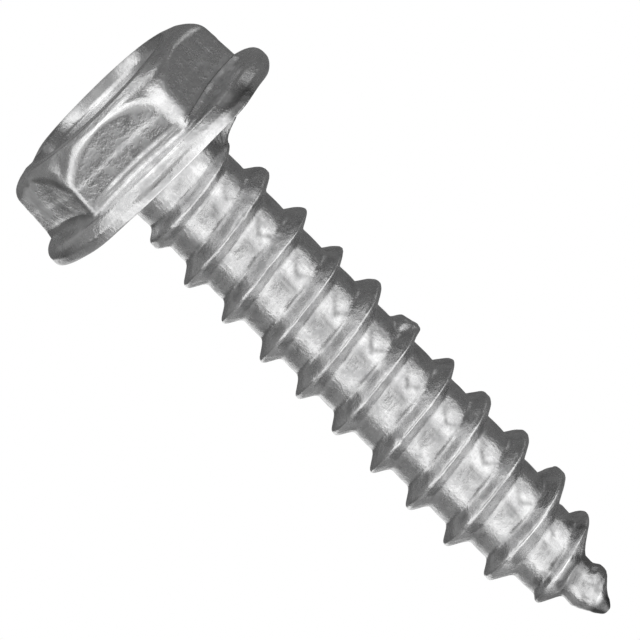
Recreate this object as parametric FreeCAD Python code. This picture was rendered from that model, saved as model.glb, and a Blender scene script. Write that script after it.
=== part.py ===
# Sheet metal screw with a hexagon washer head, an indented top and a gimlet point.
# The real one is cold headed and thread rolled from one steel blank, so it is one solid.
# It stands on its head: the origin is the centre of the head's top face, and +Z runs along
# the axis to the point. All lengths are millimetres and all angles degrees.
import FreeCAD, Part

import math
import os

# Hexagon
across_flats = 6.80          # width between two flats
corner_round = 0.42          # radius of the six upright corners
hexagon_turn = 38.5          # direction of one flat's outward face, from +X
chamfer_width = 0.35         # from a flat in to the flat ring that the head stands on
chamfer_angle = 28.0         # slope of the chamfer between that ring and the flats
land_width = 0.40            # width of the flat ring, round the indent
recess_depth = 0.39          # shallow indent left in the top by the heading punch
recess_wall_angle = 22.0     # lean of the indent's wall from the axis

# Washer flange
flange_top_height = 2.00     # height of its upper face at the foot of a flat
flange_slope = 12.0          # fall of that face towards the rim
flange_reach = 1.06          # from a flat out to the rim
rim_top_round = 0.24
rim_seat_round = 0.20
head_height = 2.82           # from the top to the bearing face
neck_round = 0.53            # fillet between the bearing face and the core

# Core, with the heights of its steps measured back from the point
shank_length = 19.00         # from the bearing face to the point
core_diameter = 3.18
taper_length = 5.90          # the core is full width before this
shoulder_start = 4.65
shoulder_end = 3.90
shoulder_diameter = 2.87
waist_start = 3.05
waist_end = 2.35
waist_diameter = 2.40
pilot_start = 1.60
pilot_end = 0.85
pilot_start_diameter = 1.36
pilot_end_diameter = 1.26
nose_length = 0.48           # short cone that ends the point
nose_diameter = 1.08
tip_diameter = 0.24          # blunt end of the cone

# Thread, right-handed
pitch = 1.5875
thread_diameter = 4.15
crest_width = 0.13
head_flank_angle = 35.0      # flank on the head's side, from a plane square to the axis
tip_flank_angle = 30.0       # flank on the point's side
crest_height = 5.48          # a crest crosses this height in the direction below
crest_turn = 270.0
fade_depth = 0.245           # the crest starts this much lower at the bearing face
fade_length = 2.40           # and is full this far along the shank
ogive_length = 4.95          # the crest closes in to the point over this length
ogive_power = 2.3
thread_stop = 0.20           # the crest stops this far short of the nose
least_ridge = 0.03           # the crest never stands lower than this above the root

# How finely the thread's curves are set out, and how the head and shank join
points_per_turn = 12
neck_overlap = 0.03          # the neck's fillet ends this far inside the core
shank_root_height = 1.60     # the shank reaches into the head down to this height

flat_distance = across_flats / 2
corner_distance = flat_distance / math.cos(math.pi / 6)
rim_radius = flat_distance + flange_reach
core_radius = core_diameter / 2
full_crest = thread_diameter / 2
tip_height = head_height + shank_length
nose_height = tip_height - nose_length
thread_end_height = nose_height - thread_stop

# The root between two turns is level, and steps down from turn to turn near the point.
root_steps = [
    (pilot_end, pilot_end_diameter / 2),
    (pilot_start, pilot_start_diameter / 2),
    (waist_end, waist_diameter / 2),
    (waist_start, waist_diameter / 2),
    (shoulder_end, shoulder_diameter / 2),
    (shoulder_start, shoulder_diameter / 2),
    (taper_length, core_radius),
]
crest_fade = [(0.0, full_crest - fade_depth), (fade_length, full_crest)]


def slope(angle):
    return math.tan(math.radians(angle))


def point(radius, height, angle=0.0):
    return FreeCAD.Vector(radius * math.cos(angle), radius * math.sin(angle), height)


def flat_patch(places):
    return Part.Face(Part.makePolygon(places + places[:1]))


# Straight-line value at x through (x, value) stations listed from small x to large
def between(x, stations):
    if x <= stations[0][0]:
        return stations[0][1]
    for (x0, y0), (x1, y1) in zip(stations, stations[1:]):
        if x <= x1:
            return y0 + (y1 - y0) * (x - x0) / (x1 - x0)
    return stations[-1][1]


# Three places on a rounding about a centre, between two directions from straight outward
def rounding(centre_radius, centre_height, size, first, last):
    turns = [math.radians(turn) for turn in (first, (first + last) / 2, last)]
    return [point(centre_radius + size * math.cos(t), centre_height + size * math.sin(t)) for t in turns]


# Solid turned about the axis from pieces of outline: a corner is one place, a rounding is
# three places, and straight lines join them
def turned(pieces):
    edges = []
    for piece, following in zip(pieces, pieces[1:] + pieces[:1]):
        if len(piece) > 1:
            edges.append(Part.Arc(*piece).toShape())
        edges.append(Part.makeLine(piece[-1], following[0]))
    outline = Part.Face(Part.Wire(edges))
    return outline.revolve(FreeCAD.Vector(0, 0, 0), FreeCAD.Vector(0, 0, 1), 360)


def hexagon():
    first_corner = math.radians(hexagon_turn) + math.pi / 6
    places = [point(corner_distance, 0, first_corner + i * math.tau / 6) for i in range(6)]
    block = flat_patch(places).extrude(FreeCAD.Vector(0, 0, head_height - rim_seat_round))
    upright = [edge for edge in block.Edges if abs(edge.tangentAt(edge.FirstParameter).z) > 0.5]
    block = block.makeFillet(corner_round, upright)

    land = flat_distance - chamfer_width
    recess = land - land_width
    recess_floor = recess - recess_depth * slope(recess_wall_angle)
    chamfer_end = (corner_distance - land) * slope(chamfer_angle)
    envelope = turned([
        [point(0, recess_depth)],
        [point(recess_floor, recess_depth)],
        [point(recess, 0)],
        [point(land, 0)],
        [point(corner_distance, chamfer_end)],
        [point(corner_distance, head_height)],
        [point(0, head_height)],
    ])
    return block.common(envelope)


def washer_flange():
    def top_height(radius):
        return flange_top_height + (radius - flat_distance) * slope(flange_slope)

    inner = flat_distance / 2
    top_centre = rim_radius - rim_top_round
    top_centre_height = top_height(top_centre) + rim_top_round / math.cos(math.radians(flange_slope))
    seat_centre = rim_radius - rim_seat_round
    neck_end = core_radius - neck_overlap
    neck_top = head_height + neck_round
    return turned([
        [point(0, top_height(inner))],
        [point(inner, top_height(inner))],
        rounding(top_centre, top_centre_height, rim_top_round, flange_slope - 90, 0),
        rounding(seat_centre, head_height - rim_seat_round, rim_seat_round, 0, 90),
        rounding(neck_end + neck_round, neck_top, neck_round, 270, 180),
        [point(0, neck_top)],
    ])


def root_radius(height):
    return between(tip_height - height, root_steps)


def crest_radius(height):
    to_tip = max(tip_height - height, 0.0)
    if to_tip < ogive_length:
        closing = 1 - (1 - to_tip / ogive_length) ** ogive_power
        return tip_diameter / 2 + (full_crest - tip_diameter / 2) * closing
    return between(height - head_height, crest_fade)


# Lower foot, two crest corners and upper foot of the ridge, as (radius, height)
def ridge_section(angle):
    middle = crest_height + pitch * (angle - math.radians(crest_turn)) / math.tau
    below = root_radius(middle - pitch / 2)
    above = root_radius(middle + pitch / 2)
    crest = max(crest_radius(middle), below + least_ridge)
    crest_low = middle - crest_width / 2
    crest_high = middle + crest_width / 2
    return [
        (below, crest_low - (crest - below) * slope(head_flank_angle)),
        (crest, crest_low),
        (crest, crest_high),
        (above, crest_high + (crest - above) * slope(tip_flank_angle)),
    ]


# Function that gives the place of one corner of the ridge's section at an angle
def corner(index):
    def place(angle):
        radius, height = ridge_section(angle)[index]
        return point(radius, height, angle)

    return place


def on_axis(angle):
    return point(0, ridge_section(angle)[0][1])


def on_nose_ring(angle):
    return point(nose_diameter / 2, nose_height, angle)


def on_tip_ring(angle):
    return point(tip_diameter / 2, tip_height, angle)


# Smooth edge that follows place(angle) over one turn from the start angle. Each place has
# a pole before it and one after it, which set the direction of the edge there.
def curve_along(place, start):
    step = math.tau / points_per_turn
    reach = 4 / 3 * math.tan(step / 4)
    knots = [start + step * i for i in range(points_per_turn + 1)]
    repeats = [4] + [2] * (points_per_turn - 1) + [4]
    poles = []
    for angle in knots:
        lean = (place(angle + step / 8) - place(angle - step / 8)) * (4 / step * reach)
        poles += [place(angle) - lean, place(angle) + lean]
    poles[0] = place(knots[0])
    poles[-1] = place(knots[-1])
    curve = Part.BSplineCurve()
    curve.buildFromPolesMultsKnots(poles, repeats, knots, False, 3)
    return curve.toShape()


# Helical face for one turn, ruled between the edges along two places
def strip(first, first_start, second, second_start):
    return Part.makeRuledSurface(curve_along(first, first_start), curve_along(second, second_start))


# Closed skin of ruled helical strips: two flanks, a crest and a root for each turn. It is
# closed to the axis below the first turn, and by a short blunt cone above the last one.
def threaded_shank():
    corners = [corner(i) for i in range(4)]
    lower, upper = corners[0], corners[-1]
    turns = math.ceil((thread_end_height - shank_root_height) / pitch) + 1
    end = math.radians(crest_turn) + math.tau * (thread_end_height - crest_height) / pitch
    starts = [end - math.tau * (turns - i) for i in range(turns)]
    first_start, last_start = starts[0], starts[-1]

    faces = []
    for start in starts:
        for first, second in zip(corners, corners[1:]):
            faces.append(strip(first, start, second, start))
    for start in starts[:-1]:
        faces.append(strip(upper, start, lower, start + math.tau))

    first_section = [place(first_start) for place in corners]
    next_foot = lower(first_start + math.tau)
    axis_ends = [on_axis(first_start + math.tau), on_axis(first_start)]
    faces.append(strip(lower, first_start, on_axis, first_start))
    faces.append(flat_patch(first_section + [next_foot] + axis_ends))

    last_section = [place(end) for place in corners]
    faces.append(strip(upper, last_start, on_nose_ring, last_start))
    faces.append(flat_patch([upper(last_start)] + last_section + [on_nose_ring(end)]))
    faces.append(strip(on_nose_ring, last_start, on_tip_ring, last_start))
    faces.append(Part.Face(Part.Wire([curve_along(on_tip_ring, last_start)])))

    skin = Part.makeShell(faces)
    skin.sewShape()
    solid = Part.Solid(skin)
    if solid.Volume < 0:
        solid.reverse()
    kept = Part.makeCylinder(thread_diameter, tip_height, FreeCAD.Vector(0, 0, shank_root_height))
    return solid.common(kept)


screw = hexagon().fuse(washer_flange()).fuse(threaded_shank())
os.makedirs("parts", exist_ok=True)
screw.exportStep("parts/screw.step")
print("screw valid", screw.isValid(), "faces", len(screw.Faces), "volume", round(screw.Volume, 2))
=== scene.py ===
import math

import bpy
from mathutils import Matrix, Vector, noise


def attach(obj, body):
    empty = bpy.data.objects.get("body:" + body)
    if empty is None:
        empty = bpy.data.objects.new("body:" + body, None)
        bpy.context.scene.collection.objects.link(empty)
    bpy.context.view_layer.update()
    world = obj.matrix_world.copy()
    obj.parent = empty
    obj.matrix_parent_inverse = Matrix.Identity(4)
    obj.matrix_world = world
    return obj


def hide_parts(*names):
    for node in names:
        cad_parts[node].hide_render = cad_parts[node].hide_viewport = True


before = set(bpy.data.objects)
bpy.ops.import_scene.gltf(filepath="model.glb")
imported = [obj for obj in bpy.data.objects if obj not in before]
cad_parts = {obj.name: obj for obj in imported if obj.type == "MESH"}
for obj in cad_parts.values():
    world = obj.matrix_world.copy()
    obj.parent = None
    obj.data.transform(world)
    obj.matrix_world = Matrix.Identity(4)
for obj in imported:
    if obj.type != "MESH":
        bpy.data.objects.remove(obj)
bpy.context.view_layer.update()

print("sheet metal screw: frame loaded")

mm = 0.001  # everything below is written in millimetres, and the mesh is made in metres


def between(x, stations):
    # straight-line value at x through (x, value) stations, small x first
    if x <= stations[0][0]:
        return stations[0][1]
    for (x0, y0), (x1, y1) in zip(stations, stations[1:]):
        if x <= x1:
            return y0 + (y1 - y0) * (x - x0) / (x1 - x0)
    return stations[-1][1]


def softStep(x, low, high):
    x = min(max((x - low) / (high - low), 0.0), 1.0)
    return x * x * (3 - 2 * x)


def softMax(a, b, reach):
    near = max(reach - abs(a - b), 0.0) / reach
    return max(a, b) + near * near * reach / 4


def softMin(a, b, reach):
    near = max(reach - abs(a - b), 0.0) / reach
    return min(a, b) - near * near * reach / 4


def grain(x, y, z, size, seed=0.0):
    # smooth noise from -1 to 1, with bumps about `size` mm wide
    return noise.noise(Vector((x / size + seed, y / size - seed, z / size + 2 * seed)))


def turnGap(a, b):
    # shortest way round between two directions, in degrees
    return (a - b + 180) % 360 - 180


def shareAt(direction, place, core):
    # 1 round the middle of a worn place, fading to 0 at its ends
    away = abs(turnGap(direction, place["direction"]))
    return 1 - softStep(away, core * place["round"], place["round"])


# hexagon, indent, flange and neck
headShape = {
    "acrossFlats": 6.88,
    "turn": 39.5,              # direction that one flat faces
    "hexShift": (0.075, 0.0),  # the hexagon was struck a little off the axis
    "draft": 0.062,            # the flats lean in towards the top by this much a millimetre
    # and by this much more, by degrees from the crest turn
    "nearDraft": [(-26, 0.0), (-15, 0.042), (33, 0.042), (43, 0.022), (94, 0.022), (104, 0.0)],
    "flatWaves": 0.006,        # the struck faces are not quite flat
    "flatStep": 0.012,         # shallow step across the flats
    "flatStepHeight": 1.18,
    # six corners, the first one 30 degrees on from the turn
    "cornerRounds": [0.42, 0.45, 0.30, 0.84, 0.32, 0.26],
    "cornerDrops": [0.0, 0.0, -0.19, 0.10, 0.25, -0.16],  # how much lower the chamfer is cut
    "cornerSpreads": [10, 10, 22, 7, 6, 18],              # and over how many degrees
    "cornerSofts": [0.0, 0.0, 0.0, 0.42, 0.08, 0.0],      # wider rounding of the chamfer
    "cornerFeet": [1.0, 1.0, 1.0, 1.0, 1.0, 0.4],         # share of the foot's fillet
    "recessDepth": 0.46,
    "recessDish": 0.05,        # the indent's floor is hollow by this much
    "recessFloor": 2.50,
    "recessRim": 2.66,
    "lipWidth": 0.010,         # a thin raised lip round the indent
    "lipHeight": 0.045,
    "lipSlope": 0.10,
    "landEdge": 2.965,
    "landShift": (0.14, 0.095),
    "chamferSlope": 26.0,
    "chamferSag": 0.065,       # the chamfer steepens by this much towards the corners
    "chamferWidth": 0.8,
    "chamferRound": 0.12,
    "chamferCornerRound": 0.22,
    "flangeTop": 2.00,
    "flangeFoot": 3.4,         # distance from the axis where it has that height
    "flangeSlope": 12.0,
    "rim": 4.425,
    "rimShift": (-0.03, 0.0),
    "rimRound": 0.27,
    "rimSide": 0.29,
    "seat": 2.82,
    "seatRound": 0.22,
    "core": 1.59,
    "neckRound": 0.60,
    "footRound": 0.27,         # fillet between the hexagon and the flange
}

# rubbed-off side of the rim
rimBevel = {"direction": 265, "round": 88, "inward": 0.22, "down": 0.30,
            "rimSharper": 0.17, "seatSharper": 0.16}

# metal pushed up under the head
neckLump = {"direction": 158, "round": 60, "size": 1.15, "flat": 0.9}

# small ledge that the die left over the foot's fillet, with its share by degrees from the crest turn
footStep = {"above": 0.34, "out": 0.090, "footOut": 1.3, "fall": 0.130, "sharper": 0.10,
            "share": [(-75, 0.15), (-28, 0.35), (-18, 1), (34, 1), (44, 0)]}

# steps along the straight part before each corner of the head's outline, steps round the
# corner, and how worn it is
outlineSteps = {
    "recessFloor": (8, 5, 0.0),
    "recessRim": (3, 3, 0.8),
    "lip": (1, 3, 0.8),
    "land": (1, 3, 0.3),
    "landEdge": (2, 4, 0.55),
    "chamfer": (5, 7, 1.0),
    "ledge": (20, 3, 0.3),
    "ledgeFoot": (1, 3, 0.0),
    "foot": (2, 8, 0.0),
    "rimTop": (5, 7, 0.7),
    "rimSide": (2, 5, 0.6),
    "seatEdge": (2, 8, 0.8),
    "neck": (8, 22, 0.0),
}


def hexRadius(direction):
    # rounded hexagon, seen from its own middle
    flat = headShape["acrossFlats"] / 2
    size = headShape["cornerRounds"][int((direction - headShape["turn"]) % 360 // 60)]
    corner = flat / math.cos(math.pi / 6) - size / math.cos(math.pi / 6)
    off = math.radians((direction - headShape["turn"]) % 60 - 30)
    touch = math.atan2(corner * 0.5, flat)
    if math.pi / 6 - abs(off) < touch:
        return flat / math.cos(math.pi / 6 - abs(off))
    return corner * math.cos(off) + math.sqrt(size ** 2 - (corner * math.sin(off)) ** 2)


def flangeHeight(radius):
    fall = math.tan(math.radians(headShape["flangeSlope"]))
    return headShape["flangeTop"] + (radius - headShape["flangeFoot"]) * fall


def roundedLine(corners):
    # corners: place, rounding, steps along the leg before it, steps round it, how flat it is cut
    places = [corners[0][0]]
    bends = []
    for i, (place, size, legSteps, bendSteps, flat) in enumerate(corners[1:-1], 1):
        back = (corners[i - 1][0] - place).normalized() * size
        ahead = (corners[i + 1][0] - place).normalized() * size
        bends.append((place + back, place, place + ahead, legSteps, bendSteps, flat))
    for start, middle, end, legSteps, bendSteps, flat in bends:
        origin = places[-1]
        for k in range(1, legSteps + 1):
            places.append(origin.lerp(start, k / legSteps))
        opening = (start - middle).angle(end - middle)
        pull = math.sin(opening / 2) * (1 - flat)     # a true arc, or a straight cut where flat is 1
        for k in range(1, bendSteps + 1):
            t = k / bendSteps
            weights = ((1 - t) ** 2, 2 * pull * t * (1 - t), t * t)
            total = sum(weights)
            places.append((start * weights[0] + middle * weights[1] + end * weights[2]) / total)
    last, _, legSteps, *_ = corners[-1]
    origin = places[-1]
    for k in range(1, legSteps + 1):
        places.append(origin.lerp(last, k / legSteps))
    return places


def headColumn(direction):
    # outline of the head in one direction, from the middle of the indent to the joint
    shape = headShape
    a = math.radians(direction)
    out = Vector((math.cos(a), math.sin(a), 0))
    up = Vector((0, 0, 1))
    landMiddle = Vector((*shape["landShift"], 0))
    nearTurn = turnGap(direction, threadShape["crestTurn"])
    corner = int((direction - shape["turn"]) % 360 // 60)
    cornerGap = abs((direction - shape["turn"]) % 60 - 30)
    nearCorner = softStep(cornerGap, 30, 8)

    # flat and chamfer
    side = Vector((*shape["hexShift"], 0)) + out * hexRadius(direction)
    draft = shape["draft"] + between(nearTurn, shape["nearDraft"])
    sideTop = side - out * draft * (shape["flangeTop"] - 0.4)
    run = (sideTop - landMiddle).length - shape["landEdge"]
    drop = shape["lipHeight"] + run * math.tan(math.radians(shape["chamferSlope"]))
    drop += shape["chamferSag"] * (run / shape["chamferWidth"]) ** 3
    drop += shape["cornerDrops"][corner] * math.exp(-(cornerGap / shape["cornerSpreads"][corner]) ** 2)
    chamferRound = (shape["chamferRound"] + shape["chamferCornerRound"] * nearCorner
                    + shape["cornerSofts"][corner] * math.exp(-(cornerGap / 9) ** 2))
    lip = out * (shape["recessRim"] + shape["lipWidth"])

    # rim, rubbed on one side
    bevel = shareAt(direction, rimBevel, 0.55)
    rim = Vector((*shape["rimShift"], 0)) + out * shape["rim"]
    rimTop = rim - out * rimBevel["inward"] * bevel
    rimFoot = rimBevel["down"] * bevel + shape["rimSide"] * (1 - bevel)
    rimRound = shape["rimRound"] - rimBevel["rimSharper"] * bevel

    # foot of the flat, with the ledge over it
    foot = side + up * flangeHeight(side.length)
    room = max(math.hypot(rimTop.x - foot.x, rimTop.y - foot.y) - rimRound, 0.0)
    stepShare = between(nearTurn, footStep["share"])
    stepOut = footStep["out"] * stepShare * min(room / 0.5, 1.0)
    stepOut *= 1 + 0.35 * grain(side.x, side.y, 0, 0.5, 6.3)
    ledge = foot - (up + out * draft) * footStep["above"]
    ledgeFoot = ledge + out * stepOut + up * footStep["fall"]
    foot += out * footStep["footOut"] * stepOut
    foot.z = flangeHeight(math.hypot(foot.x, foot.y))
    footRound = min(shape["footRound"] - footStep["sharper"] * stepShare,
                    max(room - footStep["footOut"] * stepOut, 0.02))
    footRound *= 1 - (1 - shape["cornerFeet"][corner]) * nearCorner

    lump = shareAt(direction, neckLump, 0.35)
    neckRound = shape["neckRound"] + (neckLump["size"] - shape["neckRound"]) * lump

    # place and rounding of each corner
    bends = {
        "recessFloor": (out * shape["recessFloor"] + up * shape["recessDepth"], 0.20),
        "recessRim": (out * shape["recessRim"], 0.004),
        "lip": (lip, 0.003),
        "land": (lip + out * shape["lipSlope"] + up * shape["lipHeight"], 0.025),
        "landEdge": (landMiddle + out * shape["landEdge"] + up * shape["lipHeight"], 0.06),
        "chamfer": (sideTop + up * drop, chamferRound),
        "ledge": (ledge, 0.045),
        "ledgeFoot": (ledgeFoot, 0.04),
        "foot": (foot, footRound),
        "rimTop": (rimTop + up * flangeHeight(rimTop.length), rimRound),
        "rimSide": (rim + up * (flangeHeight(shape["rim"]) + rimFoot), 0.012 + 0.08 * bevel),
        "seatEdge": (rim + up * shape["seat"], shape["seatRound"] - rimBevel["seatSharper"] * bevel),
        "neck": (out * shape["core"] + up * shape["seat"], neckRound),
    }
    middle = up * (shape["recessDepth"] + shape["recessDish"])
    corners = [(middle, 0, 0, 0, 0.0)]
    for name, (place, size) in bends.items():
        legSteps, bendSteps, _ = outlineSteps[name]
        flat = neckLump["flat"] * lump if name == "neck" else 0.0
        corners.append((place, size, legSteps, bendSteps, flat))
    corners.append((out * shape["core"] + up * meshSteps["joint"], 0, meshSteps["neck"], 0, 0.0))
    return roundedLine(corners)


def wornStations():
    # wear by ring number, highest in the middle of each rounding
    worn = {}
    station = 0
    for legSteps, bendSteps, wear in outlineSteps.values():
        station += legSteps
        for k in range(bendSteps + 1):
            worn[station + k] = wear * math.sin(math.pi * (k + 0.5) / (bendSteps + 1))
        station += bendSteps
    return worn


# thread, core and point
threadShape = {
    "pitch": 1.5875,
    "crestHeight": 5.48,     # a crest crosses this height in the direction below
    "crestTurn": 270.0,
    "fullCrest": 2.072,
    "crestShift": 0.035,     # the crest runs a little off the axis
    "rootShift": 0.02,
    "rootBarrel": 0.012,     # the root swells between two turns
    "rootWaves": 0.006,
    "noseBulge": 0.14,       # the ridge's last trace, on one side of the nose
    "bulgeFrom": (0.45, 0.85),  # it grows between these distances from the point
    "bulgeTo": (1.12, 1.38),    # and ends between these
    "rootChange": 0.18,      # the root changes its width this close to the crest
    "ridgeFade": (0.18, 0.75),  # the ridge rises between these distances from the point
    "shiftFade": (1.0, 3.0),    # and the shifts off the axis between these
    "fadeDepth": 0.22,       # the crest starts lower under the head
    "fadeLength": 2.80,
    "ogiveLength": 4.95,     # and closes in to the point over this length
    "ogivePower": 2.3,
    "tipCrest": 0.12,
    "rootRound": 0.16,
    "crestRound": 0.11,
    "nearRound": 0.055,      # this much more on the near and far sides
    "nearWidth": 0.65,       # share of the crest's width that is left there
    "crestWear": 0.016,      # uneven crest height
    "flankWander": 0.012,
    "driftWobble": 0.006,
    "tip": 21.82,
}

# root radius by height back from the point
rootSteps = [(0.85, 0.63), (1.60, 0.67), (1.85, 0.72), (2.40, 1.20), (3.05, 1.20), (3.90, 1.435),
             (4.65, 1.435), (5.90, 1.59)]

# the blunt nose, by height back from the point
noseSteps = [(0.0, 0.0), (0.008, 0.06), (0.025, 0.10), (0.05, 0.130), (0.09, 0.165), (0.15, 0.21),
             (0.26, 0.29), (0.47, 0.44), (0.68, 0.56), (0.88, 0.64), (1.10, 2.0)]

# how far the rolled crest wanders along the axis, by turns after the crest height above
crestDrift = [(-1.6, 0.18), (-1.25, 0.20), (-0.75, 0.04), (-0.25, 0.03), (0.0, -0.03), (0.25, 0.0),
              (0.75, 0.10), (1.0, -0.11), (1.25, -0.01), (1.75, 0.11), (2.0, -0.02), (2.25, 0.02),
              (2.75, 0.03), (3.0, -0.01), (3.25, -0.015), (3.75, 0.14), (4.0, -0.02), (4.25, -0.06),
              (4.75, 0.125), (5.0, -0.035), (5.25, -0.025), (5.75, 0.0), (6.0, -0.03),
              (6.25, -0.055), (6.75, 0.06), (7.0, 0.0), (7.25, -0.065), (7.75, 0.045), (8.0, 0.045),
              (8.25, -0.067), (8.75, -0.08), (9.0, -0.07), (9.25, -0.085), (9.75, -0.10)]

# width of the crest's flat top, by turns after the crest height above
crestWidths = [(-1.25, 0.03), (-0.75, 0.30), (-0.25, 0.22), (0.0, 0.05), (0.25, 0.18), (0.5, 0.06),
               (0.75, 0.03), (1.0, 0.03), (1.25, 0.13), (1.75, 0.03), (2.0, 0.04), (2.25, 0.16),
               (2.5, 0.08), (2.75, 0.18), (3.0, 0.05), (3.25, 0.22), (3.5, 0.08), (3.75, 0.10),
               (4.0, 0.04), (4.25, 0.19), (4.5, 0.08), (4.75, 0.03), (5.0, 0.04), (5.25, 0.11),
               (5.5, 0.10), (5.75, 0.25), (6.0, 0.05), (6.25, 0.18), (6.5, 0.10), (6.75, 0.19),
               (7.0, 0.05), (7.25, 0.16), (7.5, 0.10), (7.75, 0.27), (8.0, 0.05), (8.25, 0.24),
               (8.5, 0.08), (8.75, 0.12), (9.0, 0.05), (9.25, 0.16), (9.75, 0.15)]

# how much higher or lower the crest stands, by turns after the crest height above
crestLift = [(-0.75, -0.05), (-0.25, 0.01), (0.25, 0.02), (0.75, 0.03), (1.75, -0.02), (2.75, 0.04),
             (3.25, 0.0), (3.75, -0.045), (4.25, -0.02), (5.25, 0.0), (5.75, -0.025), (6.75, -0.01),
             (7.25, -0.05), (7.75, 0.0), (8.25, -0.065), (8.75, -0.03), (9.25, -0.045),
             (9.75, -0.09)]

# slope of the ridge's two sides, in degrees from a plane square to the axis
headFlanks = [(5.5, 34), (5.75, 31), (6.0, 34), (6.5, 34), (6.75, 31), (7.0, 34), (7.5, 30),
              (7.62, 12), (7.88, 12), (8.0, 32), (8.5, 30), (8.62, 20), (8.88, 20), (9.0, 32)]
tipFlanks = [(3.5, 30), (3.75, 25), (4.0, 30), (8.5, 30), (8.75, 38), (8.9, 30), (9.0, 26)]

# crest that was rolled over, with its spread round the axis in degrees
rolledCrest = {"direction": 180, "turn": 3.75, "round": 38, "reach": -0.43, "drop": 0.10}


def driftAt(turn):
    size = threadShape["driftWobble"]
    wobble = size * math.sin(turn * 9.1) + size * math.sin(turn * 23.0 + 1.0)
    return between(turn, crestDrift) + wobble


def crestLine(direction, turn):
    # height of the middle of the crest; `turn` is whole, counted at the crest turn
    along = turn + (direction - threadShape["crestTurn"]) / 360
    return threadShape["crestHeight"] + threadShape["pitch"] * along + driftAt(along), along


def crestRadius(height):
    toTip = max(threadShape["tip"] - height, 0.0)
    if toTip < threadShape["ogiveLength"]:
        closing = 1 - (1 - toTip / threadShape["ogiveLength"]) ** threadShape["ogivePower"]
        return threadShape["tipCrest"] + (threadShape["fullCrest"] - threadShape["tipCrest"]) * closing
    grow = softStep(height - headShape["seat"], 0.0, threadShape["fadeLength"])
    return threadShape["fullCrest"] - threadShape["fadeDepth"] * (1 - grow)


def rootRadius(a, middle, height):
    # `middle` is the height of the nearest crest
    shape = threadShape
    x, y = math.cos(a), math.sin(a)
    across = height - middle
    toTip = shape["tip"] - height
    below = between(shape["tip"] - (middle - shape["pitch"] / 2), rootSteps)
    above = between(shape["tip"] - (middle + shape["pitch"] / 2), rootSteps)
    root = below + (above - below) * softStep(across, -shape["rootChange"], shape["rootChange"])
    gap = abs(across) - 0.40
    root += shape["rootBarrel"] * softStep(gap, 0.0, 0.35)
    root += shape["rootShift"] * x * softStep(toTip, *shape["shiftFade"])
    root += shape["rootWaves"] * grain(x * 1.6, y * 1.6, height, 0.55, 3.1)
    root += 0.5 * shape["rootWaves"] * grain(x * 1.6, y * 1.6, height, 0.16, 5.7)
    runOut = max(-math.cos(a - 0.15), 0.0) ** 1.5
    bulge = shape["noseBulge"] * runOut * softStep(toTip, *shape["bulgeFrom"])
    root += bulge * (1 - softStep(toTip, *shape["bulgeTo"]))
    nose = between(toTip, noseSteps) + bulge
    return softMin(root, nose, 0.08) if toTip > 0.3 else nose


def foldedRidge(ridge, direction, along, across, crest, lean):
    fold = rolledCrest
    weight = shareAt(direction, fold, 0.3)
    side = across / fold["reach"]
    if abs(along - fold["turn"]) > 0.45 or weight <= 0 or side < -0.3:
        return ridge
    shelf = crest - fold["drop"] * max(side, 0.0)
    shelf -= max(abs(across) - abs(fold["reach"]), 0.0) / lean
    shelf -= (1 - weight) * 0.5
    return softMax(ridge, softMin(shelf, crest, 0.05), 0.06)


def shankSkin(direction, height):
    # radius of the threaded shank, how far up the ridge it is, and how far across the turn
    shape = threadShape
    a = math.radians(direction)
    x, y = math.cos(a), math.sin(a)
    guess = (height - shape["crestHeight"]) / shape["pitch"] - (direction - shape["crestTurn"]) / 360
    guess = round(guess)
    middle, along = min((crestLine(direction, guess + k) for k in (-1, 0, 1)),
                        key=lambda line: abs(height - line[0]))
    across = height - middle
    toTip = shape["tip"] - height
    root = rootRadius(a, middle, height)

    crest = crestRadius(middle) + between(along, crestLift)
    crest += shape["crestShift"] * x * softStep(toTip, *shape["shiftFade"])
    crest += shape["crestWear"] * grain(x * 2, y * 2, along * 1.3, 0.8, 1.3)
    crest += shape["crestWear"] * 0.45 * grain(x * 2, y * 2, along * 1.3, 0.22, 8.3)
    half = between(along, crestWidths) / 2 * (1 + 0.3 * grain(x * 2, y * 2, along, 0.4, 4.4))
    half *= shape["nearWidth"] + (1 - shape["nearWidth"]) * x * x
    lean = math.tan(math.radians(between(along, headFlanks if across < 0 else tipFlanks)))
    wander = across + shape["flankWander"] * grain(x * 2, y * 2, height, 0.35, 6.6)
    ridge = crest - (abs(wander) - half) / lean
    ridge = softMin(crest, ridge, shape["crestRound"] + shape["nearRound"] * (1 - x * x))
    ridge = foldedRidge(ridge, direction, along, across, crest, lean)
    ridge = root + (ridge - root) * softStep(toTip, *shape["ridgeFade"])
    radius = softMax(root, ridge, shape["rootRound"])
    rise = min(max((radius - root) / max(crest - root, 0.1), 0.0), 1.0)
    return radius, rise, across


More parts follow.
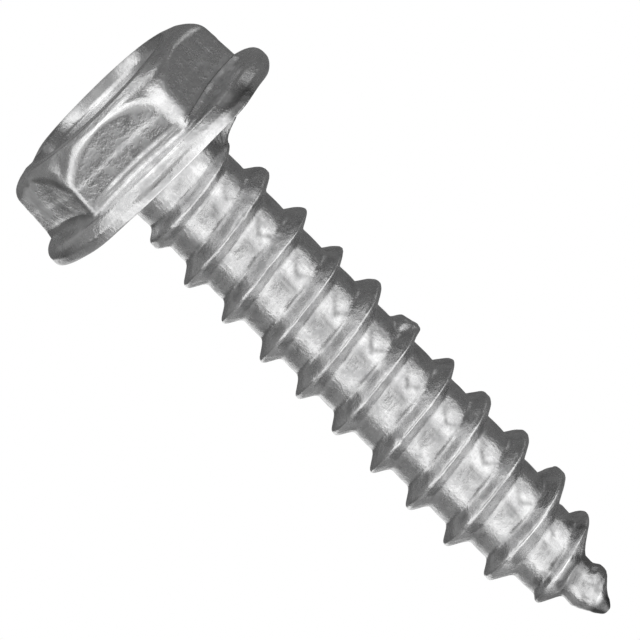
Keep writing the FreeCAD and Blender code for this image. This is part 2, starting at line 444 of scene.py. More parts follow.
# dents and lumps: place, width, and how far the skin moves there
dents = [
    ((4.30, -0.6, 2.02), 0.42, (-0.07, 0.0, 0.0)),
    ((1.30, -3.2, 2.30), 0.30, (0.0, 0.02, 0.0)),
    ((0.15, -3.36, 1.42), 0.38, (0.0, 0.014, 0.0)),
    ((-0.60, -3.4, 0.95), 0.45, (0.0, -0.012, 0.0)),
    ((1.40, -3.2, 0.80), 0.40, (0.0, 0.012, 0.0)),
    ((1.60, -3.1, 1.55), 0.40, (0.0, -0.010, 0.0)),
    ((2.65, 1.45, 0.0), 0.85, (0.0, 0.0, 0.12)),    # knocked edge of the top
    ((-2.70, -3.20, 2.75), 1.30, (0.0, 0.0, 0.08)),  # the flange is bent a little
    ((-4.00, -1.60, 2.70), 1.20, (0.0, 0.0, 0.07)),
    ((2.90, -3.00, 2.75), 1.30, (0.0, 0.0, 0.045)),
    ((-2.18, -0.10, 3.30), 0.34, (-0.42, 0.0, 0.0)),  # pushed-up metal under the flange
    ((1.95, 0.10, 3.10), 0.34, (0.22, 0.0, 0.0)),
    ((3.75, 0.35, 2.15), 0.30, (0.14, 0.0, 0.0)),
    ((-0.55, -2.03, 5.35), 0.16, (0.01, 0.06, 0.0)),
    ((-1.30, -1.60, 8.72), 0.14, (0.03, 0.04, 0.0)),
    ((0.85, -1.85, 13.5), 0.15, (-0.02, 0.05, 0.0)),
    ((0.20, -1.55, 17.6), 0.14, (0.0, 0.05, 0.0)),
]


def unevenPlace(place):
    # uneven skin of the struck head, and the dents
    spot = Vector(place)
    flat = math.hypot(place.x, place.y)
    waves = headShape["flatWaves"]
    if place.z < headShape["seat"] + 0.3:
        radial = Vector((place.x, place.y, 0)).normalized()
        swell = waves * grain(*place, 1.1, 2.2)
        swell += 0.4 * waves * grain(*place, 0.4, 9.2)
        if place.z > 0.02:
            spot += radial * swell
        if flat < 4.0 and 0.3 < place.z < 1.9:
            level = headShape["flatStepHeight"] + 0.03 * grain(*place, 0.9, 7.1)
            spot -= radial * headShape["flatStep"] * softStep(place.z, level - 0.04, level + 0.04)
        if flat > 3.5 and 1.8 < place.z < headShape["seat"] - 0.25:
            spot.z += 0.8 * swell
    for middle, wide, push in dents:
        away = (Vector(middle) - place).length / wide
        if away < 2:
            spot += Vector(push) * math.exp(-2 * away * away)
    return spot


# scuffed spots of the head: place, width, strength
scuffs = [
    ((3.60, -0.35, 0.55), 0.42, 1.0),
    ((3.62, -0.40, 1.20), 0.34, 0.9),
    ((3.25, -1.00, 0.30), 0.28, 0.7),
    ((-3.45, -1.35, 1.95), 0.34, 0.9),
    ((-3.05, -1.95, 2.02), 0.34, 0.8),
    ((-2.70, -2.60, 2.05), 0.24, 0.7),
    ((-2.60, -3.20, 2.35), 0.40, 0.8),
    ((3.10, -2.40, 2.10), 0.40, 0.6),
]

# painted shade on spots of the head's flats and rim, given the same way, and along the lip of the indent
paintedHeadShade = [
    ((-2.73, -3.50, 2.68), 0.55, 1.0),
    ((-3.26, -3.03, 2.68), 0.55, 1.0),
    ((-2.52, -3.66, 2.85), 0.42, 0.8),
    ((-2.95, -3.33, 2.85), 0.42, 0.8),
    ((4.30, -0.60, 2.78), 0.55, 0.8),
    ((4.22, -1.20, 2.78), 0.55, 0.8),
    ((4.05, -1.80, 2.74), 0.50, 0.8),
    ((2.80, -2.53, 0.55), 0.55, 0.5),
    ((2.80, -2.53, 1.10), 0.55, 0.4),
    ((2.80, -2.53, 1.65), 0.55, 0.5),
    ((3.12, -1.68, 0.55), 0.60, 0.5),
    ((3.12, -1.68, 1.10), 0.60, 0.4),
    ((3.12, -1.68, 1.65), 0.60, 0.5),
    ((2.20, -3.85, 2.80), 0.32, 0.5),
    ((-1.35, -2.95, 0.15), 0.32, 0.55),
    ((2.40, -2.45, 0.25), 0.30, 0.6),
]
lipPaintedShade = {"below": 0.04, "from": 2.6, "to": 2.72, "depth": 0.5}


def spotShare(place, spots):
    return min(sum(depth * math.exp(-2 * (place - Vector(middle)).length_squared / wide ** 2)
                   for middle, wide, depth in spots), 1.0)


# painted shade of the head: along the lip of the indent, and at the spots above
def paintedHeadShadeAt(place):
    lip = lipPaintedShade
    onLip = place.z < lip["below"] and lip["from"] < math.hypot(place.x, place.y) < lip["to"]
    return max(lip["depth"] if onLip else 0.0, spotShare(place, paintedHeadShade))


# darker strokes at the same place in every root: along the axis and round it in mm, from the direction
# below
rootStrokes = [
    {"from": (-0.31, -0.50), "to": (-0.18, -0.26), "wide": 0.13, "depth": 0.38},
    {"from": (-0.18, -0.26), "to": (0.02, -0.03), "wide": 0.085, "depth": 0.60},
    {"from": (0.02, -0.03), "to": (0.31, -0.28), "wide": 0.075, "depth": 0.50},
    {"from": (-0.20, 0.31), "to": (0.22, 0.35), "wide": 0.085, "depth": 0.42},
    {"from": (-0.12, 0.47), "to": (0.20, 0.45), "wide": 0.075, "depth": 0.34},
]

# where the threaded shank is darker: dull blotches, strokes and one side of the nose, and painted shade
# in the corner under the flange
dullSkinAndShade = {
    "strokeDirection": 254,
    "strokesFrom": 4.2,      # height of the first strokes
    "strokesToTip": 2.9,     # and they end this far from the point
    "blotch": 0.22,
    "tipBlotch": 0.50,       # more of it on the last two turns
    "tipReach": (3.2, 2.7),  # fading in between these distances from the point
    "noseSide": 0.42,        # one side of the nose
    "noseReach": 1.5,        # and this far back from the point
    "noseFade": (0.30, 0.70),  # from here to there across it
    "shadeUnderHead": 0.50,       # painted shade in the corner under the flange
    "underDirection": 178,
    "underFade": (28, 52),   # degrees to each side of that
    "underReach": (3.35, 3.8),  # and fading out between these heights
}

# painted shade on the pinched-off end and in the narrow waist behind it, by height back from the point
pinchedEndShade = [(0.0, 1.0), (0.36, 1.0), (0.58, 0.0), (1.34, 0.0), (1.46, 0.65), (1.84, 0.65),
              (1.96, 0.0)]


def strokeMark(direction, across, height):
    u = across % threadShape["pitch"] - threadShape["pitch"] / 2
    v = math.radians(turnGap(direction, dullSkinAndShade["strokeDirection"])) * headShape["core"]
    turn = (height - u) / threadShape["pitch"]
    mark = 0.0
    for stroke in rootStrokes:
        start, end = Vector(stroke["from"]), Vector(stroke["to"])
        spot = Vector((u + 0.04 * math.sin(turn * 5.0), v + 0.03 * grain(u, v, turn, 0.3, 2.9)))
        share = min(max((spot - start).dot(end - start) / (end - start).length_squared, 0.0), 1.0)
        away = (spot - start.lerp(end, share)).length / stroke["wide"]
        fresh = 1 + 0.5 * grain(u * 1.5, v * 1.5, turn, 0.35, 5.2)
        mark = max(mark, stroke["depth"] * fresh * math.exp(-away * away))
    return mark


def dullAndShadeMark(direction, across, height):
    # 0 to 1: blotches, the strokes, and painted shade on the pinched-off end and in the corner under the
    #         flange
    skin = dullSkinAndShade
    toTip = threadShape["tip"] - height
    a = math.radians(direction)
    x, y = math.cos(a), math.sin(a)
    # painted shade on the pinched-off end
    mark = between(toTip, pinchedEndShade)
    blotch = grain(x, y, height, 0.30, 7.7) + 0.6 * grain(x, y, height, 0.13, 1.9)
    if toTip < skin["tipReach"][0]:
        tipBlotch = skin["tipBlotch"] * softStep(blotch, -0.05, 0.55)
        mark = max(mark, tipBlotch * softStep(toTip, *skin["tipReach"]))
    # painted shade in the corner under the flange, round one direction
    shadeUnderHead = 1 - softStep(abs(turnGap(direction, skin["underDirection"])), *skin["underFade"])
    shadeUnderHead *= 1 - softStep(height, *skin["underReach"])
    mark = max(mark, skin["shadeUnderHead"] * shadeUnderHead, skin["blotch"] * softStep(blotch, 0.1, 0.6))
    if toTip < skin["noseReach"]:
        mark = max(mark, skin["noseSide"] * softStep(-x, *skin["noseFade"]))
    if toTip > skin["strokesToTip"] and height > skin["strokesFrom"]:
        mark = max(mark, strokeMark(direction, across, height))
    return min(max(mark, 0.0), 1.0)


# columns, rings and rows of the mesh
meshSteps = {
    "plainTurns": 126,       # evenly spread columns
    "cornerTurns": 6,        # extra columns on each side of a hexagon corner
    "cornerStep": 0.85,      # and the degrees between them
    "leastStep": 0.4,
    "neck": 12,              # rings between the neck's fillet and the joint
    "joint": 4.00,           # level where the head's rings meet the thread's rows
    "nose": 21.10,           # level where the rows end and the nose's rings begin
    "noseStep": 0.05,
    "merge": 0.012,          # rows nearer than this to the joint or the nose lie on it
    # last rings of the nose, back from the point
    "noseRings": [0.22, 0.18, 0.15, 0.12, 0.09, 0.07, 0.05, 0.036, 0.025, 0.015, 0.008, 0.003],
    # rows across one turn, from the middle of the crest
    "rows": [0, 0.035, 0.06, 0.085, 0.12, 0.17, 0.23, 0.29, 0.34, 0.39, 0.45, 0.53, 0.63, 0.74,
             0.85, 0.95, 1.03, 1.09, 1.15, 1.20, 1.26, 1.32, 1.38, 1.43, 1.475, 1.505, 1.53, 1.56],
}


def columnTurns():
    turns = [i * 360 / meshSteps["plainTurns"] for i in range(meshSteps["plainTurns"])]
    for corner in range(6):
        middle = headShape["turn"] + 30 + 60 * corner
        for k in range(-meshSteps["cornerTurns"], meshSteps["cornerTurns"] + 1):
            turns.append((middle + meshSteps["cornerStep"] * k) % 360)
    turns.sort()
    kept = [turns[0]]
    for turn in turns[1:]:
        if turn - kept[-1] > meshSteps["leastStep"]:
            kept.append(turn)
    return kept


def buildScrew():
    turns = columnTurns()
    count = len(turns)
    pitch = threadShape["pitch"]
    low, high = meshSteps["joint"], meshSteps["nose"]
    verts, faces, flow = [], [], []
    skin = {"ridgeRise": [], "wornEdge": [], "mark": [], "paintedHeadShade": []}   # one value per vertex each

    def keep(place, up=0.0, across=None, worn=0.0):
        verts.append(place)
        skin["ridgeRise"].append(up)
        skin["wornEdge"].append(worn)
        # painted shade of the head, one value per vertex
        skin["paintedHeadShade"].append(paintedHeadShadeAt(place))
        if across is None:
            flow.append((0.0, 0.0, 0.0))
            skin["mark"].append(spotShare(place, scuffs))
        else:
            # across and along the ridge, so that the rolling lines follow the thread
            w = across / pitch * math.tau
            flow.append((math.cos(w), math.sin(w), place.z))
            turned = math.degrees(math.atan2(place.y, place.x)) % 360
            skin["mark"].append(dullAndShadeMark(turned, across, place.z))
        return len(verts) - 1

    def shankPlace(direction, height, least=0.0):
        radius, up, across = shankSkin(direction, height)
        if least > 0:
            # the neck's fillet passes into the shank below the joint
            upNeck = softStep(height, low - 0.5, low)
            radius = softMax(radius, least - 0.03 * upNeck, 0.10 * (1 - upNeck) + 0.001)
        a = math.radians(direction)
        return Vector((radius * math.cos(a), radius * math.sin(a), height)), up, across

    # head: one outline for each direction, from the middle of the indent to the joint
    outlines = [headColumn(turn) for turn in turns]
    wear = wornStations()
    pole = keep(outlines[0][0])
    rings = []
    for r in range(1, len(outlines[0])):
        ring = []
        for outline in outlines:
            place = outline[r]
            if place.z > headShape["seat"] + 1e-6:
                direction = math.degrees(math.atan2(place.y, place.x)) % 360
                ring.append(keep(*shankPlace(direction, place.z, math.hypot(place.x, place.y))))
            else:
                ring.append(keep(place.copy(), worn=wear.get(r, 0.0)))
        rings.append(ring)

    # threaded shank: rows that climb with the thread, cut off level at both ends
    rows = meshSteps["rows"]
    firstTurn = math.floor((low - threadShape["crestHeight"]) / pitch) - 1
    lastTurn = math.ceil((high - threadShape["crestHeight"]) / pitch) + 1
    rowCount = (lastTurn - firstTurn) * len(rows)

    def rowHeight(direction, row):
        turn, part = divmod(row, len(rows))
        first, _ = crestLine(direction, turn + firstTurn)
        second, _ = crestLine(direction, turn + firstTurn + 1)
        return first + (second - first) * (rows[part] / pitch)

    joint = rings[-1]
    noseRing = [keep(*shankPlace(direction, high)) for direction in turns]
    grid = []
    for column, direction in enumerate(turns):
        line = []
        for row in range(rowCount):
            height = rowHeight(direction, row)
            if height <= low + meshSteps["merge"]:
                line.append(joint[column])
            elif height >= high - meshSteps["merge"]:
                line.append(noseRing[column])
            else:
                line.append(keep(*shankPlace(direction, height)))
        grid.append(line)

    def addFace(*corner):
        kept = []
        for index in corner:
            if index not in kept:
                kept.append(index)
        if len(kept) > 2:
            faces.append(kept)

    for column in range(count):
        after = (column + 1) % count
        addFace(pole, rings[0][after], rings[0][column])
        for below, above in zip(rings, rings[1:]):
            addFace(below[column], below[after], above[after], above[column])
        # the last column meets the first one a turn further up
        up = 0 if after else len(rows)
        for row in range(rowCount - 1 - up):
            addFace(grid[column][row], grid[after][row + up], grid[after][row + up + 1],
                    grid[column][row + 1])

    # nose: level rings to the blunt point
    previous = noseRing
    heights = [high + meshSteps["noseStep"] * k for k in range(1, 10)]
    heights += [threadShape["tip"] - back for back in meshSteps["noseRings"]]
    for height in heights:
        ring = [keep(*shankPlace(direction, height)) for direction in turns]
        for column in range(count):
            after = (column + 1) % count
            addFace(previous[column], previous[after], ring[after], ring[column])
        previous = ring
    point = keep(Vector((0, 0, threadShape["tip"] - 0.001)), across=0.0)
    for column in range(count):
        addFace(previous[column], previous[(column + 1) % count], point)

    mesh = bpy.data.meshes.new("screwSkin")
    mesh.from_pydata([tuple(unevenPlace(place) * mm) for place in verts], [], faces)
    mesh.polygons.foreach_set("use_smooth", [True] * len(mesh.polygons))
    for name, values in skin.items():
        layer = mesh.attributes.new(name, "FLOAT", "POINT")
        layer.data.foreach_set("value", values)
    layer = mesh.attributes.new("rollFlow", "FLOAT_VECTOR", "POINT")
    layer.data.foreach_set("vector", [c for v in flow for c in v])
    mesh.validate(verbose=False)
    mesh.update()
    screw = bpy.data.objects.new("screwBody", mesh)
    bpy.context.collection.objects.link(screw)
    return screw


screw = buildScrew()
triangles = sum(len(p.vertices) - 2 for p in screw.data.polygons)
print("screw skin built,", triangles, "triangles")


def newGroup(name, inputs, outputs):
    group = bpy.data.node_groups.new(name, "ShaderNodeTree")
    for label, kind, value in inputs:
        socket = group.interface.new_socket(label, in_out="INPUT", socket_type=kind)
        if value is not None:
            socket.default_value = value
    for label, kind in outputs:
        group.interface.new_socket(label, in_out="OUTPUT", socket_type=kind)
    return group, group.nodes.new("NodeGroupInput"), group.nodes.new("NodeGroupOutput")


def addNode(tree, kind, links=(), **settings):
    # links: (input name or number, source socket or plain value)
    node = tree.nodes.new(kind)
    for key, value in settings.items():
        setattr(node, key, value)
    for place, source in links:
        if isinstance(source, bpy.types.NodeSocket):
            tree.links.new(source, node.inputs[place])
        else:
            node.inputs[place].default_value = source
    return node


def noiseNode(tree, vector, scale, detail, roughness):
    links = [("Vector", vector), ("Scale", scale), ("Detail", detail), ("Roughness", roughness)]
    return addNode(tree, "ShaderNodeTexNoise", links).outputs["Fac"]


def rangeNode(tree, value, fromLow, fromHigh, toLow, toHigh):
    links = [("Value", value), ("From Min", fromLow), ("From Max", fromHigh), ("To Min", toLow),
             ("To Max", toHigh)]
    return addNode(tree, "ShaderNodeMapRange", links).outputs["Result"]


def mathNode(tree, operation, *values):
    return addNode(tree, "ShaderNodeMath", enumerate(values), operation=operation).outputs[0]


def attributeNode(tree, name):
    return addNode(tree, "ShaderNodeAttribute", attribute_name=name)


def mixColour(tree, factor, first, second, blend="MIX"):
    # the colour sockets of a Mix node are numbers 6 and 7, and its colour output is number 2
    node = addNode(tree, "ShaderNodeMix", [(0, factor)], data_type="RGBA", blend_type=blend)
    for place, source in ((6, first), (7, second)):
        if isinstance(source, bpy.types.NodeSocket):
            tree.links.new(source, node.inputs[place])
        else:
            node.inputs[place].default_value = source
    return node.outputs[2]


def buildPlateMottle():
    # cloudy zinc: patches a millimetre or so wide with a finer crystalline grain over them
    group, take, give = newGroup("plateMottle", [
        ("Vector", "NodeSocketVector", None),
        ("Cloud Scale", "NodeSocketFloat", 900.0),
        ("Grain Scale", "NodeSocketFloat", 9000.0),
        ("Bright", "NodeSocketColor", (0.80, 0.80, 0.81, 1)),
        ("Dull", "NodeSocketColor", (0.60, 0.61, 0.63, 1)),
    ], [("Color", "NodeSocketColor"), ("Cloud", "NodeSocketFloat"), ("Grain", "NodeSocketFloat")])
    cloud = noiseNode(group, take.outputs["Vector"], take.outputs["Cloud Scale"], 5.0, 0.6)
    fine = noiseNode(group, take.outputs["Vector"], take.outputs["Grain Scale"], 3.0, 0.65)
    cloudy = rangeNode(group, cloud, 0.34, 0.66, 0.0, 1.0)
    speck = rangeNode(group, fine, 0.30, 0.72, 0.0, 1.0)
    total = mathNode(group, "MULTIPLY_ADD", cloudy, 0.7, mathNode(group, "MULTIPLY", speck, 0.3))
    colour = mixColour(group, total, take.outputs["Dull"], take.outputs["Bright"])
    group.links.new(colour, give.inputs["Color"])
    group.links.new(total, give.inputs["Cloud"])
    group.links.new(speck, give.inputs["Grain"])
    return group


def buildTumbleMarks():
    # short scratches in two directions from parts rubbing in the plating barrel
    group, take, give = newGroup("tumbleMarks", [
        ("Vector", "NodeSocketVector", None),
        ("Scale", "NodeSocketFloat", 1.0),
        ("Amount", "NodeSocketFloat", 0.5),
    ], [("Mask", "NodeSocketFloat")])
    parts = []
    for turn, stretch in (((0.3, 0.9, 0.4), (240, 5200, 2600)), ((1.2, 0.2, 2.0), (4200, 260, 3600))):
        links = [("Vector", take.outputs["Vector"]), ("Rotation", turn), ("Scale", stretch)]
        mapped = addNode(group, "ShaderNodeMapping", links)
        streak = noiseNode(group, mapped.outputs[0], take.outputs["Scale"], 2.0, 0.5)
        parts.append(rangeNode(group, streak, 0.60, 0.70, 0.0, 1.0))
    both = mathNode(group, "MAXIMUM", parts[0], parts[1])
    group.links.new(mathNode(group, "MULTIPLY", both, take.outputs["Amount"]), give.inputs["Mask"])
    return group


def buildEdgePolish():
    # where neighbours rubbed the high edges bright
    group, take, give = newGroup("edgePolish", [
        ("Edge", "NodeSocketFloat", 0.0),
        ("Vector", "NodeSocketVector", None),
        ("Scale", "NodeSocketFloat", 1500.0),
        ("Amount", "NodeSocketFloat", 1.0),
    ], [("Mask", "NodeSocketFloat")])
    patchy = noiseNode(group, take.outputs["Vector"], take.outputs["Scale"], 4.0, 0.6)
    patchy = rangeNode(group, patchy, 0.25, 0.65, 0.35, 1.0)
    mask = mathNode(group, "MULTIPLY", take.outputs["Edge"], patchy)
    group.links.new(mathNode(group, "MULTIPLY", mask, take.outputs["Amount"]), give.inputs["Mask"])
    return group


plateMottle = buildPlateMottle()
tumbleMarks = buildTumbleMarks()
edgePolish = buildEdgePolish()

headZinc = {
    "bright": (0.86, 0.86, 0.86, 1),
    "dull": (0.60, 0.60, 0.605, 1),
    "polished": (0.90, 0.90, 0.90, 1),
    "roughness": 0.25,
    "roughSpread": 0.22,
    "grainHeight": 0.0009,
    "cloudHeight": 0.008,
    "cloudScale": 1900.0,
    "scuffRough": 0.9,       # added roughness where the head is scuffed
    "darkestShade": 0.26,       # share of the light that the darkest painted shade leaves
}
threadZinc = {
    "bright": (0.88, 0.88, 0.88, 1),
    "dull": (0.58, 0.58, 0.585, 1),
    "polished": (0.84, 0.84, 0.84, 1),
    "roughness": 0.25,
    "roughSpread": 0.18,
    "grainHeight": 0.0010,
    "cloudHeight": 0.011,
    "cloudScale": 2300.0,
    "polishFrom": 0.86,      # share of the ridge's height above which it is rubbed bright
    "lineShade": 0.90,       # fine lines that the rolling dies left along the flanks and the root
    "lineHeight": 0.003,
    "lineScale": (9.0, 9.0, 1.1),
    "dulledAndShaded": 0.17,          # share of the light that the darkest marks and painted shade leave
}

# scratches from the plating barrel
tumbled = {"amount": 0.6, "rough": 0.10, "height": -0.0025}


def zincMaterial(name, look, rolled):
    material = bpy.data.materials.new(name)
    material.use_nodes = True
    tree = material.node_tree
    shader = tree.nodes["Principled BSDF"]
    shader.inputs["Metallic"].default_value = 1.0
    place = addNode(tree, "ShaderNodeTexCoord").outputs["Object"]

    mottle = addNode(tree, "ShaderNodeGroup", node_tree=plateMottle)
    tree.links.new(place, mottle.inputs["Vector"])
    mottle.inputs["Bright"].default_value = look["bright"]
    mottle.inputs["Dull"].default_value = look["dull"]
    mottle.inputs["Cloud Scale"].default_value = look["cloudScale"]
    marks = addNode(tree, "ShaderNodeGroup", node_tree=tumbleMarks)
    tree.links.new(place, marks.inputs["Vector"])
    marks.inputs["Amount"].default_value = tumbled["amount"]
    worn = attributeNode(tree, "ridgeRise" if rolled else "wornEdge").outputs["Fac"]
    if rolled:
        worn = rangeNode(tree, worn, look["polishFrom"], 1.0, 0.0, 1.0)
    polish = addNode(tree, "ShaderNodeGroup", node_tree=edgePolish)
    tree.links.new(worn, polish.inputs["Edge"])
    tree.links.new(place, polish.inputs["Vector"])

    colour = mixColour(tree, polish.outputs["Mask"], mottle.outputs["Color"], look["polished"])
    spread = look["roughSpread"] / 2
    rough = rangeNode(tree, mottle.outputs["Cloud"], 0.0, 1.0, look["roughness"] + spread,
                      look["roughness"] - spread)
    height = mathNode(tree, "MULTIPLY", mottle.outputs["Grain"], look["grainHeight"])
    height = mathNode(tree, "MULTIPLY_ADD", mottle.outputs["Cloud"], look["cloudHeight"], height)
    height = mathNode(tree, "MULTIPLY_ADD", marks.outputs["Mask"], tumbled["height"], height)
    mark = attributeNode(tree, "mark").outputs["Fac"]
    if rolled:
        flow = attributeNode(tree, "rollFlow").outputs["Vector"]
        stretched = addNode(tree, "ShaderNodeMapping", [("Vector", flow), ("Scale", look["lineScale"])])
        lines = noiseNode(tree, stretched.outputs[0], 1.6, 4.0, 0.7)
        lineShade = rangeNode(tree, lines, 0.35, 0.65, look["lineShade"], 1.0)
        # the marks darken the thread: dull blotches and strokes, and painted shade under the flange and
        # on the pinched-off end
        markShade = rangeNode(tree, mark, 0.0, 1.0, 1.0, look["dulledAndShaded"])
        colour = mixColour(tree, 1.0, colour, lineShade, "MULTIPLY")
        colour = mixColour(tree, 1.0, colour, markShade, "MULTIPLY")
        height = mathNode(tree, "MULTIPLY_ADD", lines, look["lineHeight"], height)
    else:
        scuffed = mathNode(tree, "MULTIPLY", mark, mottle.outputs["Cloud"])
        rough = mathNode(tree, "MULTIPLY_ADD", scuffed, look["scuffRough"], rough)
        # painted shade darkens the head's flats, rim and indent lip
        dark = attributeNode(tree, "paintedHeadShade").outputs["Fac"]
        darkShade = rangeNode(tree, dark, 0.0, 1.0, 1.0, look["darkestShade"])
        colour = mixColour(tree, 1.0, colour, darkShade, "MULTIPLY")
    rough = mathNode(tree, "MULTIPLY_ADD", marks.outputs["Mask"], tumbled["rough"], rough)
    tree.links.new(colour, shader.inputs["Base Color"])
    tree.links.new(rough, shader.inputs["Roughness"])
    bump = addNode(tree, "ShaderNodeBump", [("Strength", 1.0), ("Distance", mm), ("Height", height)])
    tree.links.new(bump.outputs["Normal"], shader.inputs["Normal"])
    return material


zincHead = zincMaterial("zincHead", headZinc, False)
zincThread = zincMaterial("zincThread", threadZinc, True)
screw.data.materials.append(zincHead)
screw.data.materials.append(zincThread)
threadPlateFrom = (headShape["seat"] + 0.02) * mm
for polygon in screw.data.polygons:
    polygon.material_index = 1 if polygon.center.z > threadPlateFrom else 0
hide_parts("screw")
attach(screw, "root")
print("zinc plate ready")


stageLook = {
    "floorColour": (0.80, 0.80, 0.80, 1),
    "floorHalf": 200,
    "floorHeight": -0.01,
    "worldLight": 0.45,
    "cardDistance": 300,
    "cardMiddle": 10,        # height of the cards' common middle
    "cardSteps": 24,
}

# Cards that only the metal's reflections show, for the plate's dark and light bands. Each has its
# grey, how much nearer than the others it stands, and rows of (elevation, from, to), with
# angles from the camera's side towards +X.
cards = {
    "cardBack": {"grey": 0.15, "nearer": 0,
                 "rows": [(62, 205, 262), (50, 202, 264), (40, 197, 268), (34, 180, 272), (20, 174, 278),
                          (8, 174, 268), (-12, 176, 300), (-36, 176, 299), (-60, 176, 299)]},
    "cardBelowLeft": {"grey": 0.22, "nearer": 2, "rows": [(-58, 250, 302), (-84, 250, 302)]},
    "cardBackRight": {"grey": 0.27, "nearer": 2,
                      "rows": [(62, 90, 155), (50, 76, 162), (38, 66, 179), (20, 66, 176)]},
    "cardRight": {"grey": 0.28, "nearer": 2, "rows": [(20, 66, 138), (3, 66, 138)]},
    "cardLevel": {"grey": 0.14, "nearer": 0, "rows": [(3, 66, 178), (-12, 68, 178), (-22, 84, 178)]},
    "cardLowRight": {"grey": 0.24, "nearer": 0, "rows": [(-22, 86, 178), (-60, 95, 178)]},
    "cardOver": {"grey": 0.16, "nearer": 4, "rows": [(60, 70, 178), (84, 70, 178)]},
    "cardRim": {"grey": 0.95, "nearer": 8, "rows": [(24, 146, 174), (11, 146, 174)]},
    "cardUnder": {"grey": 0.26, "nearer": 4, "rows": [(-46, 150, 204), (-64, 150, 204)]},
    "cardBelow": {"grey": 1.40, "nearer": 6, "rows": [(-60, -50, 64), (-84, -50, 64)]},
    "cardBelowBack": {"grey": 1.90, "nearer": 6, "rows": [(-74, 110, 245), (-88, 110, 245)]},
    "cardNear": {"grey": 0.12, "nearer": 8, "rows": [(0, 4, 33), (-10, -2, 36), (-20, -8, 38)]},
    "cardNearLow": {"grey": 0.45, "nearer": 8, "rows": [(-20, -18, 42), (-36, -27, 48), (-50, -28, 50)]},
    "cardSmudge": {"grey": 0.66, "nearer": 8, "rows": [(14, -9, 3), (2, -12, 4)]},
    "cardPatch": {"grey": 0.62, "nearer": 8, "rows": [(-16, 242, 260), (-35, 232, 246)]},
    "cardShine": {"grey": 1.25, "nearer": 6, "rows": [(-18, -66, -30), (-56, -62, -32)]},
    "cardShineRight": {"grey": 1.20, "nearer": 6, "rows": [(-24, 54, 80), (-54, 56, 84)]},
}


def stageMaterial(name, colour, glow):
    # glow: the sheet shows its own colour, and only in reflections
    material = bpy.data.materials.new(name)
    material.use_nodes = True
    tree = material.node_tree
    tree.nodes.remove(tree.nodes["Principled BSDF"])
    light = addNode(tree, "ShaderNodeLightPath")
    clear = addNode(tree, "ShaderNodeBsdfTransparent")
    if glow:
        face = addNode(tree, "ShaderNodeEmission", [("Color", colour), ("Strength", 1.0)])
        hidden = mathNode(tree, "SUBTRACT", 1.0, light.outputs["Is Glossy Ray"])
    else:
        face = addNode(tree, "ShaderNodeBsdfDiffuse", [("Color", colour)])
        under = addNode(tree, "ShaderNodeNewGeometry").outputs["Backfacing"]
        hidden = mathNode(tree, "MAXIMUM", under, light.outputs["Is Glossy Ray"])
    mix = addNode(tree, "ShaderNodeMixShader", [(0, hidden), (1, face.outputs[0]), (2, clear.outputs[0])])
    tree.links.new(mix.outputs[0], tree.nodes["Material Output"].inputs["Surface"])
    return material


def stageSheet(name, places, faces, material):
    mesh = bpy.data.meshes.new(name)
    mesh.from_pydata([tuple(place * mm) for place in places], [], faces)
    mesh.materials.append(material)
    sheet = bpy.data.objects.new(name, mesh)
    bpy.context.collection.objects.link(sheet)


def reflectionCard(name, card):
    steps = stageLook["cardSteps"]
    reach = stageLook["cardDistance"] - card["nearer"]
    places, faces = [], []
    for elevation, start, end in card["rows"]:
        e = math.radians(elevation)
        for k in range(steps + 1):
            a = math.radians(-90 + start + (end - start) * k / steps)
            direction = Vector((math.cos(a) * math.cos(e), math.sin(a) * math.cos(e), math.sin(e)))
            places.append(direction * reach + Vector((0, 0, stageLook["cardMiddle"])))
    for row in range(len(card["rows"]) - 1):
        for k in range(steps):
            first = row * (steps + 1) + k
            faces.append((first, first + 1, first + steps + 2, first + steps + 1))
    grey = card["grey"]
    stageSheet(name, places, faces, stageMaterial(name, (grey, grey, grey, 1), True))


half = stageLook["floorHalf"]
floorPlaces = [Vector((x, y, stageLook["floorHeight"]))
               for x, y in ((-half, -half), (half, -half), (half, half), (-half, half))]
paleFloor = stageMaterial("paleFloor", stageLook["floorColour"], False)
stageSheet("floorSheet", floorPlaces, [(0, 1, 2, 3)], paleFloor)
for cardName, card in cards.items():
    reflectionCard(cardName, card)

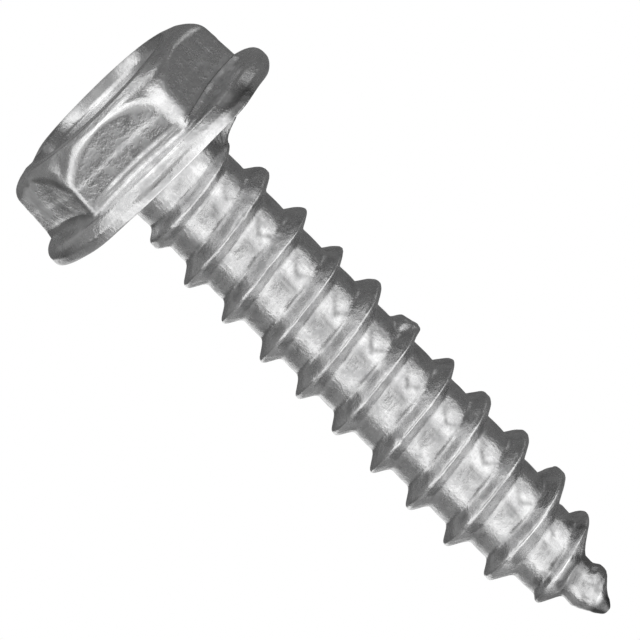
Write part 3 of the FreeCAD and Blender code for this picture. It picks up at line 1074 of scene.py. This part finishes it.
world = bpy.data.worlds.new("studio")
bpy.context.scene.world = world
world.use_nodes = True
worldTree = world.node_tree
path = addNode(worldTree, "ShaderNodeLightPath")
seen = mathNode(worldTree, "MAXIMUM", path.outputs["Is Camera Ray"], path.outputs["Is Glossy Ray"])
seen = mathNode(worldTree, "MAXIMUM", seen, path.outputs["Is Transmission Ray"])
strength = rangeNode(worldTree, seen, 0.0, 1.0, stageLook["worldLight"], 1.0)
backdrop = worldTree.nodes["Background"]
backdrop.inputs["Color"].default_value = (1, 1, 1, 1)
worldTree.links.new(strength, backdrop.inputs["Strength"])


lampAim = Vector((0, 0, 10))
lamps = {
    "lampLeft": {"place": (-150, -170, 70), "size": 150, "power": 0.030},
    "lampRight": {"place": (170, -150, 50), "size": 150, "power": 0.016},
    "lampTop": {"place": (0, 20, 240), "size": 200, "power": 0.10},
}


def softLamp(name, lamp):
    data = bpy.data.lights.new(name, "AREA")
    data.shape = "SQUARE"
    data.size = lamp["size"] * mm
    data.energy = lamp["power"]
    place = Vector(lamp["place"])
    lampObject = bpy.data.objects.new(name, data)
    lampObject.location = place * mm
    lampObject.rotation_euler = (lampAim - place).to_track_quat("-Z", "Y").to_euler()
    lampObject.visible_camera = False
    bpy.context.collection.objects.link(lampObject)


for lampName, lamp in lamps.items():
    softLamp(lampName, lamp)

camera = {"aim": (-0.017, 0.0, 9.45), "below": 7.6, "roll": 135.27, "lens": 1000.0, "sensor": 36.0,
          "frameWidth": 19.12, "clip": (0.2, 10)}
cameraData = bpy.data.cameras.new("camera")
cameraData.lens = camera["lens"]
cameraData.sensor_width = camera["sensor"]
distance = camera["frameWidth"] * camera["lens"] / camera["sensor"]
cameraData.clip_start = distance * mm * camera["clip"][0]
cameraData.clip_end = distance * mm * camera["clip"][1]
cameraObject = bpy.data.objects.new("camera", cameraData)
bpy.context.collection.objects.link(cameraObject)
below = math.radians(camera["below"])
back = Vector((0, -math.cos(below), -math.sin(below)))
cameraObject.location = (Vector(camera["aim"]) + back * distance) * mm
facing = (-back).to_track_quat("-Z", "Y").to_matrix()
rolled = facing @ Matrix.Rotation(math.radians(camera["roll"]), 3, "Z")
cameraObject.rotation_euler = rolled.to_euler()
bpy.context.scene.camera = cameraObject
bpy.context.scene.view_settings.view_transform = "Standard"
print("stage, lamps and camera ready")
